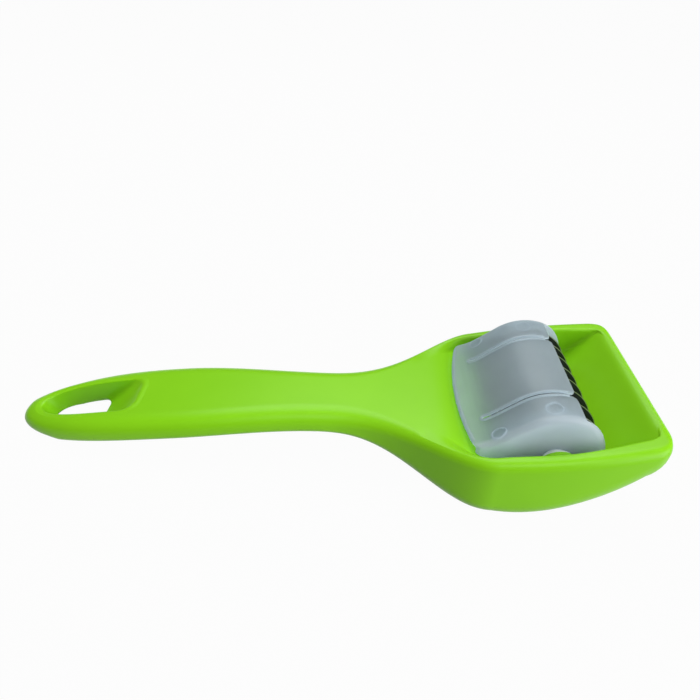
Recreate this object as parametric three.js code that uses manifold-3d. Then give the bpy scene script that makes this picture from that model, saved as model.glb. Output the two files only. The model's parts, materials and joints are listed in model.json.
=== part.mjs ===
// Green onion cutter: a roller of disc blades in a hood that is moulded in one with its handle,
// under a clip-on translucent blade guard. It lies as it is put down, hood bottom on the table.
// Millimetres, +Z up, +X from the handle to the hood, -Y the front side.
import * as THREE from "three";
import { mergeVertices, toCreasedNormals } from "three/addons/utils/BufferGeometryUtils.js";
import Module from "manifold-3d";

const wasm = await Module();
wasm.setup();

// Roller stack, along Y
const discCount = 8;
const discPitch = 7;
const discThickness = 0.6;
const discRadius = 17.2;
const discBevel = 1.8;
const discEdge = 0.12;
const spacerRadius = 9;
const collarLength = 3;
const collarRadius = 8;
const axleRadius = 2.5;
const axleChamfer = 0.5;
const stackGap = 0.1;
const boreGap = 0.15;
const runGap = 0.4;

// Bearing bushes, spigoted into the hood walls
const hubRadius = 5;
const flangeRadius = 6.4;
const flangeThickness = 3.1;
const spigotRadius = 4;
const spigotLength = 3.2;
const bushEdge = 0.6;
const seatGap = 0.3;

// Blade guard
const guardWall = 1.1;
const guardClearance = 1;
const guardEdge = 2.1;
const tailEdgeShare = 0.3;
const cheekWall = 1.6;
const cheekGap = 0.7;
const flangeGap = 0.8;
const lipAngle = 19;
const flareAngle = 40.6;
const flareRun = 9.6;
const tailRadius = 22.4;
const tailAngle = 7.5;
const tailSweepRadius = 125;
const tailCorner = 3;
const tailSweepShare = 0.86;
const slitWidth = 1.5;
const slitInset = 13.5;
const slitLength = 30.2;
const tongueCorner = 2.6;
const cheekDrop = 8;
const cheekBackAngle = 100;
const cheekFrontAngle = 55;
const notchGap = 0.3;

// Handle and hood
const totalLength = 237.5;
const bowToAxle = 35.6;
const axleToShoulder = 19.9;
const flareLength = 62;
const palmFromTip = 63;
const tipFullness = 2.7;
const palmHalfWidth = 18.3;
const neckHalfWidth = 14.7;
const handleThickness = 9.8;
const flareSkew = 1.4;
const shoulderDrop = 1;
const bowDrop = 3;
const bowCorner = 7.2;
const gripEdgeWidth = 7;
const gripEdgeHeight = 5.5;
const gripUnderRadius = 3.5;
const rimEdgeRadius = 3.5;
const hoodUnderRadius = 7;
const bowUnderRadius = 16;
const tipTopRadius = 4.2;
const tipUnderRadius = 1;
const crownHeight = 22;
const crownFromNeck = 12;
const archRadius = 525;
const rimBowHeight = 37.2;
const rimSlope = 0.1846;
const rimBlend = 2;
const keelFromShoulder = 5;
const keelSkew = 1.15;
const bowRiseFromAxle = 15.9;
const bowRiseLength = 54.5;
const bowRiseHeight = 36;
const padHeight = 0.4;
const padLength = 20;
const padHalfWidth = 27;
const padRoot = 1.5;
const leastHalfWidth = 0.5;
const edgeHeightShare = 0.55;
const roundShare = 0.9;

// Pocket in the hood
const hoodFloor = 3.5;
const bayClearance = 0.7;
const rimLand = 5.1;
const bowLand = 7.2;
const endLand = 4.4;
const wallDraft = 0.035;
const bossHeight = 0.65;
const bossWall = 2.2;
const pocketFillet = 2;
const filletDepthShare = 0.6;
const pocketCorner = 2.5;
const rimChamfer = 1;
const chamferDepthShare = 0.3;
const bayFromAngle = 190;
const bayToAngle = 360;
const rollRun = 20;
const rollCrestRun = 11;
const rollSoftRun = 14;
const rollBlend = 3.5;
const rollOut = 2.5;
const rollLift = 0.25;
const rollSink = 2.4;
const rampDepth = 7.9;
const rampRun = 6.5;

// Hang hole
const holeFromTip = 7.5;
const holeLength = 40.5;
const holeLand = 8.9;
const holeTaper = 3.6;
const throatInset = 0.5;
const throatRamp = 15.5;
const throatDepth = 8.2;
const holeCorner = 5;
const holeLip = 1;

// Facets
const creaseAngle = 30;
const cornerSteps = 6;
const tipSteps = 16;
const palmSteps = 8;
const flareSteps = 14;
const hoodSteps = 22;
const rollSteps = 9;
const baySteps = 16;
const rampSteps = 9;
const wallSteps = 6;
const filletSteps = 4;
const holeSteps = 16;
const guardSteps = 14;
const guardEdgeSteps = 4;
const planSteps = 8;
const tailSteps = 6;
const notchSteps = 12;
const discFacets = 40;
const ringFacets = 24;
const bushFacets = 32;

// Places that follow from the sizes
const rad = Math.PI / 180;
const overshoot = 12;
const sliver = 0.05;
const discsHalf = ((discCount - 1) / 2) * discPitch;
const rollerHalf = discsHalf + discThickness / 2 + stackGap + collarLength;
const cheekInner = rollerHalf + cheekGap;
const cheekOuter = cheekInner + cheekWall;
const flangeInner = cheekOuter + flangeGap;
const flangeOuter = flangeInner + flangeThickness;
const bossFace = flangeOuter + seatGap;
const spigotEnd = flangeOuter + spigotLength;
const tipX = -totalLength / 2;
const bowX = totalLength / 2;
const axleX = bowX - bowToAxle;
const axleZ = hoodFloor + bayClearance + discRadius;
const bayRadius = discRadius + bayClearance;
const shoulderX = axleX - axleToShoulder;
const neckX = shoulderX - flareLength;
const palmX = tipX + palmFromTip;
const crownX = neckX + crownFromNeck;
const keelX = shoulderX - keelFromShoulder;
const riseX = axleX - bowRiseFromAxle;
const rimHeight = (x) => rimBowHeight - rimSlope * (bowX - x);
const pocketHalf = bossFace + bossHeight + wallDraft * (rimHeight(axleX) - axleZ);
const headHalf = pocketHalf + rimLand;
const liftAngle = Math.atan(rimSlope);
const slitY = cheekOuter - slitInset;

// Materials
const plastic = (color, roughness) => new THREE.MeshStandardMaterial({ color, roughness, metalness: 0 });
const greenAbs = () => plastic(0x86cb28, 0.25);
const blackNylon = () => plastic(0x1c1d1f, 0.45);
const whiteAcetal = () => plastic(0xeef0ec, 0.35);
const frostedPolypropylene = () => {
  const material = plastic(0xb4c2cf, 0.4);
  material.transparent = true;
  material.opacity = 0.75;
  return material;
};
const steel = (color, roughness) => new THREE.MeshStandardMaterial({ color, roughness, metalness: 1 });
const bladeSteel = () => steel(0x8c8f92, 0.3);
const axleSteel = () => steel(0xb9bcc0, 0.25);

// Smooth step from a to b
function ease(a, b, t) {
  const s = Math.min(Math.max(t, 0), 1);
  return a + (b - a) * s * s * (3 - 2 * s);
}

// The larger of two heights, with the crossing rounded over
function softMax(a, b, blend) {
  return blend * Math.log(Math.exp(a / blend) + Math.exp(b / blend));
}

// How far a rounded edge draws in, at a distance from the face it rounds into
function roundIn(distance, radius) {
  const short = Math.max(radius - distance, 0);
  return radius - Math.sqrt(radius * radius - short * short);
}

// A closed solid of manifold-3d from a three.js geometry
function solidOf(geometry) {
  const bare = geometry.clone();
  bare.deleteAttribute("normal");
  bare.deleteAttribute("uv");
  const merged = mergeVertices(bare, 1e-4);
  return new wasm.Manifold(new wasm.Mesh({
    numProp: 3,
    vertProperties: new Float32Array(merged.attributes.position.array),
    triVerts: new Uint32Array(merged.index.array),
  }));
}

// A mesh from a solid, with its corners creased and its curves smooth
function meshOf(name, shape, material) {
  let geometry = shape;
  if (!shape.isBufferGeometry) {
    const made = shape.getMesh();
    geometry = new THREE.BufferGeometry();
    geometry.setAttribute("position", new THREE.BufferAttribute(made.vertProperties, 3));
    geometry.setIndex(new THREE.BufferAttribute(made.triVerts, 1));
  }
  const mesh = new THREE.Mesh(toCreasedNormals(geometry, creaseAngle * rad), material);
  mesh.name = name;
  return mesh;
}

// A closed skin over rings of equally many points, capped at both ends; a bent outline's caps are cut up
// in the plane it is given in
function loft(rings, inPlane) {
  const count = rings[0].length;
  const points = rings.flat();
  const index = [];
  const last = (rings.length - 1) * count;
  for (let r = 0; r + 1 < rings.length; r += 1) {
    for (let i = 0; i < count; i += 1) {
      const a = r * count + i;
      const b = r * count + ((i + 1) % count);
      index.push(a, b, a + count, b, b + count, a + count);
    }
  }
  const capCentre = (ring) => ring.reduce((sum, p) => sum.add(p), new THREE.Vector3()).divideScalar(count);
  if (inPlane) {
    for (const [a, b, c] of THREE.ShapeUtils.triangulateShape(rings[0].map(inPlane), [])) {
      index.push(a, c, b);
      index.push(last + a, last + b, last + c);
    }
  } else {
    points.push(capCentre(rings[0]), capCentre(rings[rings.length - 1]));
    for (let i = 0; i < count; i += 1) {
      const next = (i + 1) % count;
      index.push(points.length - 2, next, i);
      index.push(points.length - 1, last + i, last + next);
    }
  }
  const geometry = new THREE.BufferGeometry().setFromPoints(points);
  geometry.setIndex(index);
  return geometry;
}

// A shape drawn in X and Z, pushed along Y from one place to another
function acrossY(shape, fromY, toY, curveSegments) {
  const depth = toY - fromY;
  const geometry = new THREE.ExtrudeGeometry(shape, { depth, bevelEnabled: false, curveSegments });
  geometry.rotateX(Math.PI / 2);
  geometry.translate(0, toY, 0);
  return geometry;
}

// A shape drawn in X and Y, pushed along Z
function alongZ(shape, fromZ, toZ, curveSegments) {
  const depth = toZ - fromZ;
  const geometry = new THREE.ExtrudeGeometry(shape, { depth, bevelEnabled: false, curveSegments });
  geometry.translate(0, 0, fromZ);
  return geometry;
}

// A turned piece on the axle's line: radius and place along Y, once round its section
function turned(section, segments) {
  const profile = section.map(([radius, y]) => new THREE.Vector2(radius, y));
  const geometry = new THREE.LatheGeometry([...profile, profile[0].clone()], segments);
  geometry.translate(axleX, 0, axleZ);
  return geometry;
}

// Half the width of handle and hood in plan
function halfWidth(x) {
  if (x < palmX) {
    const t = (palmX - x) / (palmX - tipX);
    return palmHalfWidth * Math.sqrt(Math.max(1 - t ** tipFullness, 0));
  }
  if (x < neckX) {
    return ease(palmHalfWidth, neckHalfWidth, (x - palmX) / (neckX - palmX));
  }
  const shoulderHalf = headHalf - shoulderDrop;
  if (x < shoulderX) {
    return ease(neckHalfWidth, shoulderHalf, ((x - neckX) / flareLength) ** flareSkew);
  }
  const t = (x - axleX) / (x < axleX ? axleToShoulder : bowToAxle);
  const barrel = headHalf - (x < axleX ? shoulderDrop : bowDrop) * t * t;
  return barrel - roundIn(bowX - x, bowCorner);
}

// Height of the handle's arched top
function archHeight(x) {
  return crownHeight - (x - crownX) ** 2 / (2 * archRadius);
}

// Height of the top: the handle's arch runs over into the slope of the hood's rim
function topHeight(x) {
  return softMax(archHeight(x), rimHeight(x), rimBlend);
}

// Height of the underside: the handle's, down to the hood's keel, then the rise to the bow
function bottomHeight(x) {
  const under = Math.max(archHeight(Math.min(x, neckX)) - handleThickness, 0);
  const keel = ease(under, padHeight, Math.max((x - neckX) / (keelX - neckX), 0) ** keelSkew);
  const along = Math.max(x - riseX, 0) / bowRiseLength;
  return keel + bowRiseHeight * (1 - Math.sqrt(1 - along * along));
}

// One cross-section: a rectangle with rounded corners, the upper two drawn out wider than high
function sectionRing(x, half, top, bottom, edgeWidth, edgeHeight, underRadius) {
  const ring = [];
  const corner = (y, z, width, height, from) => {
    for (let i = 0; i <= cornerSteps; i += 1) {
      const angle = (from + (90 * i) / cornerSteps) * rad;
      ring.push(new THREE.Vector3(x, y + width * Math.cos(angle), z + height * Math.sin(angle)));
    }
  };
  corner(half - edgeWidth, top - edgeHeight, edgeWidth, edgeHeight, 0);
  corner(edgeWidth - half, top - edgeHeight, edgeWidth, edgeHeight, 90);
  corner(underRadius - half, bottom + underRadius, underRadius, underRadius, 180);
  corner(half - underRadius, bottom + underRadius, underRadius, underRadius, 270);
  return ring;
}

// Places along X, closer together towards the rounded ends
function stations(from, to, count) {
  const share = (i) => (1 - Math.cos((Math.PI * i) / count)) / 2;
  return Array.from({ length: count + 1 }, (_, i) => from + (to - from) * share(i));
}

function bodyRing(x) {
  const bowIn = roundIn(bowX - x, rimEdgeRadius);
  const top = topHeight(x) - roundIn(x - tipX, tipTopRadius) - bowIn;
  const bottom = bottomHeight(x) + roundIn(x - tipX, tipUnderRadius) + bowIn;
  const half = Math.max(halfWidth(x) - bowIn, leastHalfWidth);
  const flare = (x - neckX) / flareLength;
  const room = top - bottom;
  const edgeHeight = Math.min(ease(gripEdgeHeight, rimEdgeRadius, flare), room * edgeHeightShare);
  const edgeWidth = Math.min(ease(gripEdgeWidth, rimEdgeRadius, flare), half * roundShare);
  const hoodUnder = ease(gripUnderRadius, hoodUnderRadius, flare);
  const under = ease(hoodUnder, bowUnderRadius, (x - shoulderX) / (bowX - shoulderX));
  const underRadius = Math.min(under, half * roundShare, (room - edgeHeight) * roundShare);
  return sectionRing(x, half, top, bottom, edgeWidth, edgeHeight, underRadius);
}

function bodyBlank() {
  const places = [
    ...stations(tipX + sliver, palmX, tipSteps).slice(0, -1),
    ...stations(palmX, neckX, palmSteps).slice(0, -1),
    ...stations(neckX, shoulderX, flareSteps).slice(0, -1),
    ...stations(shoulderX, bowX - sliver, hoodSteps),
  ];
  return solidOf(loft(places.map(bodyRing)));
}

// Floor of the pocket from its rolled left edge, round the roller bay and up the ramp on the right
function pocketFloor() {
  const bay = (degrees) => new THREE.Vector2(
    axleX + bayRadius * Math.cos(degrees * rad),
    axleZ + bayRadius * Math.sin(degrees * rad),
  );
  const rollEnd = bay(bayFromAngle);
  const rollStart = new THREE.Vector2(rollEnd.x - rollRun, topHeight(rollEnd.x - rollRun) + rollLift);
  const rollCrest = new THREE.Vector2(rollStart.x + rollCrestRun, rollStart.y - rollSink);
  const rampEnd = new THREE.Vector2(bowX - endLand, rimHeight(bowX - endLand));
  const rampFoot = new THREE.Vector2(rampEnd.x - rampRun, rampEnd.y - rampDepth);
  const roll = new THREE.QuadraticBezierCurve(rollStart, rollCrest, rollEnd).getPoints(rollSteps);
  const bayStep = (bayToAngle - bayFromAngle) / baySteps;
  const round = Array.from({ length: baySteps - 1 }, (_, i) => bay(bayFromAngle + bayStep * (i + 1)));
  const ramp = new THREE.QuadraticBezierCurve(bay(bayToAngle), rampFoot, rampEnd).getPoints(rampSteps);
  return [...roll, ...round, ...ramp];
}

// One cross-section of the pocket, open upwards: drafted walls with a chamfered mouth round the bay,
// and soft shoulders where the pocket rolls out into the handle
function pocketRing(x, floor, startX, endX) {
  const mouth = topHeight(x);
  const land = ease(rimLand, bowLand, (x - axleX) / (endX - axleX));
  const half = halfWidth(x) - land - roundIn(endX - x, pocketCorner);
  const depth = Math.max(mouth - floor, sliver);
  const foot = half - wallDraft * depth;
  const fillet = Math.min(pocketFillet, depth * filletDepthShare);
  const chamfer = Math.min(rimChamfer, depth * chamferDepthShare);
  const soft = 1 - ease(0, 1, (x - startX) / rollSoftRun);
  const side = [];
  for (let i = 0; i <= wallSteps; i += 1) {
    const angle = (Math.PI / 2) * Math.min(i / filletSteps, 1);
    const wall = i <= filletSteps
      ? [foot - fillet + fillet * Math.sin(angle), floor + fillet - fillet * Math.cos(angle)]
      : [half + chamfer * (i - wallSteps + 1), mouth - chamfer * (wallSteps - i)];
    const up = i / wallSteps;
    const rolled = [half + rollOut - rollBlend * (1 - up), ease(floor, mouth + 2 * rollLift, up)];
    side.push([wall[0] + (rolled[0] - wall[0]) * soft, wall[1] + (rolled[1] - wall[1]) * soft]);
  }
  side.push([side[wallSteps][0], mouth + overshoot]);
  const right = side.map(([y, z]) => new THREE.Vector3(x, y, z));
  const left = side.map(([y, z]) => new THREE.Vector3(x, -y, z)).reverse();
  return [...right, ...left];
}

function pocket() {
  const floor = pocketFloor();
  const startX = floor[0].x;
  const endX = floor[floor.length - 1].x;
  return solidOf(loft(floor.map((p) => pocketRing(p.x, p.y, startX, endX))));
}

// Outline of the hang hole at one level: a teardrop that ends square at the ramp
function holeRing(inset, rightX, height) {
  const leftX = tipX + holeFromTip + inset;
  const widest = halfWidth(tipX + holeFromTip + holeLength) - holeLand - inset;
  const upper = stations(rightX, leftX, holeSteps).map((x) => {
    const along = (rightX - x) / (rightX - leftX);
    const half = widest * Math.sqrt(Math.max(1 - along ** holeTaper, 0));
    return [x, Math.max(half - roundIn(rightX - x, holeCorner), 0)];
  });
  const lower = upper.slice(0, -1).reverse().map(([x, y]) => [x, -y]);
  return [...upper, ...lower].map(([x, y]) => new THREE.Vector3(x, y, height(x)));
}

// The hole narrows from both faces to a throat, and a ramp leads into it on the palm's side
function hangHole() {
  const rightX = tipX + holeFromTip + holeLength;
  const throatX = rightX - throatRamp;
  const throat = (x) => topHeight(x) - throatDepth;
  return solidOf(loft([
    holeRing(0, throatX + holeLip, (x) => bottomHeight(x) - overshoot),
    holeRing(0, throatX + holeLip, (x) => bottomHeight(x) - holeLip),
    holeRing(throatInset, throatX, throat),
    holeRing(0, rightX, (x) => topHeight(x)),
    holeRing(0, rightX, (x) => topHeight(x) + overshoot),
  ]));
}

// The low flat pad under the hood's keel that the tool rests on
function restPad() {
  const pad = new THREE.BoxGeometry(padLength, 2 * padHalfWidth, padRoot);
  pad.translate((keelX + riseX) / 2, 0, padRoot / 2);
  return solidOf(pad);
}

// A round bar on the axle's line, from one place to another along Y
function bar(radius, fromY, toY) {
  return solidOf(turned([[0, fromY], [radius, fromY], [radius, toY], [0, toY]], bushFacets));
}

// Handle and hood, one moulding with the rest pad, the roller's pocket, bush sockets and hang hole
function handleHood() {
  let body = bodyBlank().add(restPad()).subtract(pocket()).subtract(hangHole());
  for (const side of [-1, 1]) {
    const span = (a, b) => [Math.min(side * a, side * b), Math.max(side * a, side * b)];
    const wall = bossFace + bossHeight + pocketFillet;
    body = body.add(bar(spigotRadius + seatGap + bossWall, ...span(bossFace, wall)));
    body = body.subtract(bar(spigotRadius + seatGap, ...span(bossFace - overshoot, spigotEnd + seatGap)));
  }
  return body;
}

// The guard's side profile: over the roller, down a straight flank, out to a flat tail
function guardProfile(offset) {
  const radius = discRadius + guardClearance + guardWall - offset;
  const at = (angle, r, centre) => new THREE.Vector2(
    centre.x + r * Math.sin(angle * rad),
    centre.y + r * Math.cos(angle * rad),
  );
  const axle = new THREE.Vector2(axleX, axleZ);
  const overStep = (lipAngle + flareAngle) / guardSteps;
  const over = Array.from({ length: guardSteps + 1 }, (_, i) => at(lipAngle - overStep * i, radius, axle));
  const flank = at(-flareAngle, radius, axle);
  flank.x -= flareRun * Math.cos(flareAngle * rad);
  flank.y -= flareRun * Math.sin(flareAngle * rad);
  const centre = at(-flareAngle, tailRadius + offset, flank);
  const tailStep = (flareAngle - tailAngle) / tailSteps;
  const tail = Array.from({ length: tailSteps + 1 }, (_, i) =>
    at(tailStep * i - flareAngle, -(tailRadius + offset), centre));
  return [...over, ...tail];
}

// Plan of the guard: bowed tail, rounded tongues, and the two slits that let the ends spring
function guardPlan() {
  const profile = guardProfile(0);
  const tailX = profile[profile.length - 1].x;
  const lipX = profile[0].x;
  const slitEnd = lipX - slitLength;
  const half = slitWidth / 2;
  const sag = tailSweepRadius - Math.sqrt(tailSweepRadius ** 2 - cheekOuter ** 2);
  const sweep = Math.asin(cheekOuter / tailSweepRadius) * tailSweepShare;
  const plan = new THREE.Shape();
  plan.absarc(tailX + tailSweepRadius, 0, tailSweepRadius, Math.PI - sweep, Math.PI + sweep, false);
  plan.quadraticCurveTo(tailX + sag, -cheekOuter, tailX + sag + tailCorner, -cheekOuter);
  plan.lineTo(lipX + discRadius, -cheekOuter);
  plan.lineTo(lipX + discRadius, -cheekInner);
  plan.lineTo(lipX, -cheekInner);
  for (const y of [-slitY, slitY]) {
    plan.lineTo(lipX, y - half - tongueCorner);
    plan.quadraticCurveTo(lipX, y - half, lipX - tongueCorner, y - half);
    plan.lineTo(slitEnd + half, y - half);
    plan.absarc(slitEnd + half, y, half, -Math.PI / 2, Math.PI / 2, true);
    plan.lineTo(lipX - tongueCorner, y + half);
    plan.quadraticCurveTo(lipX, y + half, lipX, y + half + tongueCorner);
  }
  plan.lineTo(lipX, cheekInner);
  plan.lineTo(lipX + discRadius, cheekInner);
  plan.lineTo(lipX + discRadius, cheekOuter);
  plan.lineTo(tailX + sag + tailCorner, cheekOuter);
  const sweepEnd = [tailX + tailSweepRadius * (1 - Math.cos(sweep)), tailSweepRadius * Math.sin(sweep)];
  plan.quadraticCurveTo(tailX + sag, cheekOuter, ...sweepEnd);
  return plan;
}

// Side outline of the guard at one place across: the profile, drawn in where it rounds over into a cheek,
// then the cheek's lower edge and its front round the discs
function guardRing(y) {
  const inset = roundIn(cheekOuter - Math.abs(y), guardEdge);
  const polar = (angle, radius) => new THREE.Vector2(
    axleX + radius * Math.sin(angle * rad),
    axleZ + radius * Math.cos(angle * rad),
  );
  const drawnIn = guardProfile(inset);
  const outline = guardProfile(0).map((p, i) => {
    const alongTail = Math.max(i - guardSteps - 1, 0) / tailSteps;
    return p.lerp(drawnIn[i], 1 - (1 - tailEdgeShare) * alongTail);
  });
  const lowAngle = Math.acos(-cheekDrop / discRadius) / rad;
  outline.push(guardProfile(guardWall).pop());
  outline.push(polar(-cheekBackAngle, discRadius), polar(-lowAngle, discRadius));
  const outerRadius = discRadius + guardClearance + guardWall;
  for (let i = 0; i < guardSteps; i += 1) {
    const angle = lowAngle + ((lipAngle - lowAngle) * i) / guardSteps;
    const radius = ease(outerRadius, discRadius, (angle - lipAngle) / cheekFrontAngle);
    outline.push(polar(angle, radius - inset));
  }
  return outline.map((p) => new THREE.Vector3(p.x, y, p.y));
}

// Room inside the guard between its cheeks: under the skin, and open past the lip
function guardRoom() {
  const under = guardProfile(guardWall);
  const tail = under[under.length - 1];
  const far = 2 * discRadius;
  return new THREE.Shape([
    ...under,
    new THREE.Vector2(tail.x - overshoot, tail.y),
    new THREE.Vector2(tail.x - overshoot, -overshoot),
    new THREE.Vector2(axleX + far, -overshoot),
    new THREE.Vector2(axleX + far, axleZ),
    new THREE.Vector2(axleX + far * Math.sin(lipAngle * rad), axleZ + far * Math.cos(lipAngle * rad)),
  ]);
}

// The notch that seats each cheek on its bush's hub, open along the way the guard lifts off
function hubNotch() {
  const notch = hubRadius + notchGap;
  const lift = (across, along) => new THREE.Vector2(
    axleX + across * Math.cos(liftAngle) - along * Math.sin(liftAngle),
    axleZ + across * Math.sin(liftAngle) + along * Math.cos(liftAngle),
  );
  const seat = Array.from({ length: notchSteps + 1 }, (_, i) => {
    const angle = (Math.PI * i) / notchSteps;
    return lift(notch * Math.cos(angle), notch * Math.sin(angle));
  });
  return new THREE.Shape([...seat, lift(-notch, -discRadius), lift(notch, -discRadius)]);
}

function bladeGuard() {
  const ends = Array.from({ length: guardEdgeSteps + 1 }, (_, i) =>
    cheekOuter - guardEdge * (1 - Math.cos((Math.PI / 2) * (i / guardEdgeSteps))));
  const across = [...ends, ...ends.slice().reverse().map((y) => -y)];
  return solidOf(loft(across.map(guardRing), (p) => new THREE.Vector2(p.x, p.z)))
    .subtract(solidOf(acrossY(guardRoom(), -cheekInner, cheekInner, 1)))
    .subtract(solidOf(acrossY(hubNotch(), -headHalf, headHalf, 1)))
    .intersect(solidOf(alongZ(guardPlan(), -overshoot, axleZ + 2 * discRadius, planSteps)));
}

// A disc blade, ground to an edge from both faces
function cuttingDisc() {
  const half = discThickness / 2;
  const bore = axleRadius + boreGap;
  return turned([
    [bore, -half],
    [discRadius - discBevel, -half],
    [discRadius, -discEdge / 2],
    [discRadius, discEdge / 2],
    [discRadius - discBevel, half],
    [bore, half],
  ], discFacets);
}

// A plain ring on the axle
function ring(radius, length) {
  const bore = axleRadius + boreGap;
  const half = length / 2;
  return turned([[bore, -half], [radius, -half], [radius, half], [bore, half]], ringFacets);
}

function axle() {
  const end = spigotEnd - seatGap;
  return turned([
    [0, -end],
    [axleRadius - axleChamfer, -end],
    [axleRadius, axleChamfer - end],
    [axleRadius, end - axleChamfer],
    [axleRadius - axleChamfer, end],
    [0, end],
  ], ringFacets);
}

// A flanged bush: spigot in the hood wall, flange against its boss, hub for the guard's cheek
function bearingBush(side) {
  const bore = axleRadius + seatGap;
  const hubEnd = rollerHalf + runGap;
  const section = [
    [bore, hubEnd],
    [hubRadius - bushEdge, hubEnd],
    [hubRadius, hubEnd + bushEdge],
    [hubRadius, flangeInner],
    [flangeRadius - bushEdge, flangeInner],
    [flangeRadius, flangeInner + bushEdge],
    [flangeRadius, flangeOuter],
    [spigotRadius, flangeOuter],
    [spigotRadius, spigotEnd - bushEdge],
    [spigotRadius - bushEdge, spigotEnd],
    [bore, spigotEnd],
  ];
  const placed = section.map(([radius, y]) => [radius, side * y]);
  return turned(side > 0 ? placed : placed.reverse(), bushFacets);
}

// The whole tool
const group = new THREE.Group();
group.add(meshOf("handle_hood", handleHood(), greenAbs()));
group.add(meshOf("blade_guard", bladeGuard(), frostedPolypropylene()));
group.add(meshOf("axle", axle(), axleSteel()));
for (let i = 0; i < discCount; i += 1) {
  const disc = meshOf(`cutting_disc_${i + 1}`, cuttingDisc(), bladeSteel());
  disc.position.y = i * discPitch - discsHalf;
  group.add(disc);
}
for (let i = 0; i + 1 < discCount; i += 1) {
  const spacerLength = discPitch - discThickness - 2 * stackGap;
  const spacer = meshOf(`spacer_${i + 1}`, ring(spacerRadius, spacerLength), blackNylon());
  spacer.position.y = (i + 0.5) * discPitch - discsHalf;
  group.add(spacer);
}
for (const [name, side] of [["front", -1], ["rear", 1]]) {
  const collar = meshOf(`end_collar_${name}`, ring(collarRadius, collarLength), blackNylon());
  collar.position.y = side * (rollerHalf - collarLength / 2);
  group.add(collar);
  group.add(meshOf(`bearing_bush_${name}`, bearingBush(side), whiteAcetal()));
}

export default group;
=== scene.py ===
import bpy
import bmesh
import json
import math
from mathutils import Matrix, Vector
from mathutils.bvhtree import BVHTree


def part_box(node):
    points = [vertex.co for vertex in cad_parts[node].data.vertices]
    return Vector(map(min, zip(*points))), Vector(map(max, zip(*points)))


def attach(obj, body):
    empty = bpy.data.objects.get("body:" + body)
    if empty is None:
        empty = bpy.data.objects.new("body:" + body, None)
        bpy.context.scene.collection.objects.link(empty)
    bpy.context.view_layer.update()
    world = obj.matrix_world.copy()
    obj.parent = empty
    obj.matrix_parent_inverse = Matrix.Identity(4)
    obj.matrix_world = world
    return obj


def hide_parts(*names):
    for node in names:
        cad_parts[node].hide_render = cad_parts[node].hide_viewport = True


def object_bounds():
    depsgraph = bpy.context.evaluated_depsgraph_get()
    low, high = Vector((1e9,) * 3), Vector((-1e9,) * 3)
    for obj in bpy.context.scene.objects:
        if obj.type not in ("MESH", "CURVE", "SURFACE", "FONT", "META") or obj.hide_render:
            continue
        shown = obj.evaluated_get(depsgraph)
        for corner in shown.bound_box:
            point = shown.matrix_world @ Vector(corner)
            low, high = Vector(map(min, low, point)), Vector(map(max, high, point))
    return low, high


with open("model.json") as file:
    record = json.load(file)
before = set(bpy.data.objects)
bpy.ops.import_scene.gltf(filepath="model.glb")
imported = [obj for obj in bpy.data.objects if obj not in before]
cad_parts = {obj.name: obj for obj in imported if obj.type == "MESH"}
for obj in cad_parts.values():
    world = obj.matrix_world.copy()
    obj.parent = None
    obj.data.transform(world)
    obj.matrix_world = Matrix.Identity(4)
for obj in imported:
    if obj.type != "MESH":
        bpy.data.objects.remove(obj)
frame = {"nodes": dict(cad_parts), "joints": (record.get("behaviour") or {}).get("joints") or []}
cadLow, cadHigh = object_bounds()
mm = 0.001
weldGap = 1e-6  # points closer than this, in m, are one
sliver = 1e-7  # edges shorter than this, in m, are taken out
print("frame loaded:", len(frame["nodes"]), "nodes")

spinJoint = next(j for j in frame["joints"] if j["name"] == "roller_spin")
axleX, axleZ = spinJoint["pos_m"][0] / mm, spinJoint["pos_m"][2] / mm


# camera, set up at the photograph's angle; places in mm
cameraSetup = dict(
    eye=(10.17, -165.01, 162.60),
    forward=(0.00329, 0.80672, -0.59092),
    right=(0.99855, 0.02914, 0.04534),
    up=(-0.05380, 0.59021, 0.80545),
    lens=28.8, sensor=36, near=0.01, far=100,  # lens and sensor in mm, near and far in m
)


def makeCamera(setup):
    camera = bpy.data.objects.new("camera", bpy.data.cameras.new("camera"))
    camera.data.lens = setup["lens"]
    camera.data.sensor_width = setup["sensor"]
    camera.data.clip_start = setup["near"]
    camera.data.clip_end = setup["far"]
    columns = [Vector(setup["right"]), Vector(setup["up"]), -Vector(setup["forward"])]
    turn = Matrix([[c[row] for c in columns] for row in range(3)])
    camera.matrix_world = Matrix.Translation(Vector(setup["eye"]) * mm) @ turn.to_4x4()
    bpy.context.scene.collection.objects.link(camera)
    bpy.context.scene.camera = camera


makeCamera(cameraSetup)
print("camera placed")


# small helpers for meshes and materials

def ease(a, b, t):  # smooth step from a to b
    s = min(max(t, 0), 1)
    return a + (b - a) * s * s * (3 - 2 * s)


def lerp(a, b, t):
    return a + (b - a) * t


def roundIn(distance, radius):  # how far a rounded edge draws in, near the face it runs into
    short = min(max(radius - distance, 0), radius)
    return radius - math.sqrt(radius * radius - short * short)


def spread(start, end, count):  # places that crowd towards both ends
    return [lerp(start, end, (1 - math.cos(math.pi * i / count)) / 2) for i in range(count + 1)]


def even(start, end, count):
    return [lerp(start, end, i / count) for i in range(count + 1)]


def objectFrom(name, mesh, body, slot, material, *nodes):  # rides on a body, stands for the nodes it redraws
    piece = bpy.data.objects.new(name, mesh)
    bpy.context.scene.collection.objects.link(piece)
    piece.data.materials.append(material)
    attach(piece, body)
    if nodes:
        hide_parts(*nodes)
    return piece


def meshFrom(name, bm):
    mesh = bpy.data.meshes.new(name)
    bm.to_mesh(mesh)
    bm.free()
    for polygon in mesh.polygons:
        polygon.use_smooth = True
    return mesh


def linear(hexText):  # sRGB hex to the linear colour that sockets take
    parts = [int(hexText[i:i + 2], 16) / 255 for i in (1, 3, 5)]
    return tuple(c / 12.92 if c <= 0.04045 else ((c + 0.055) / 1.055) ** 2.4 for c in parts) + (1,)


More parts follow.
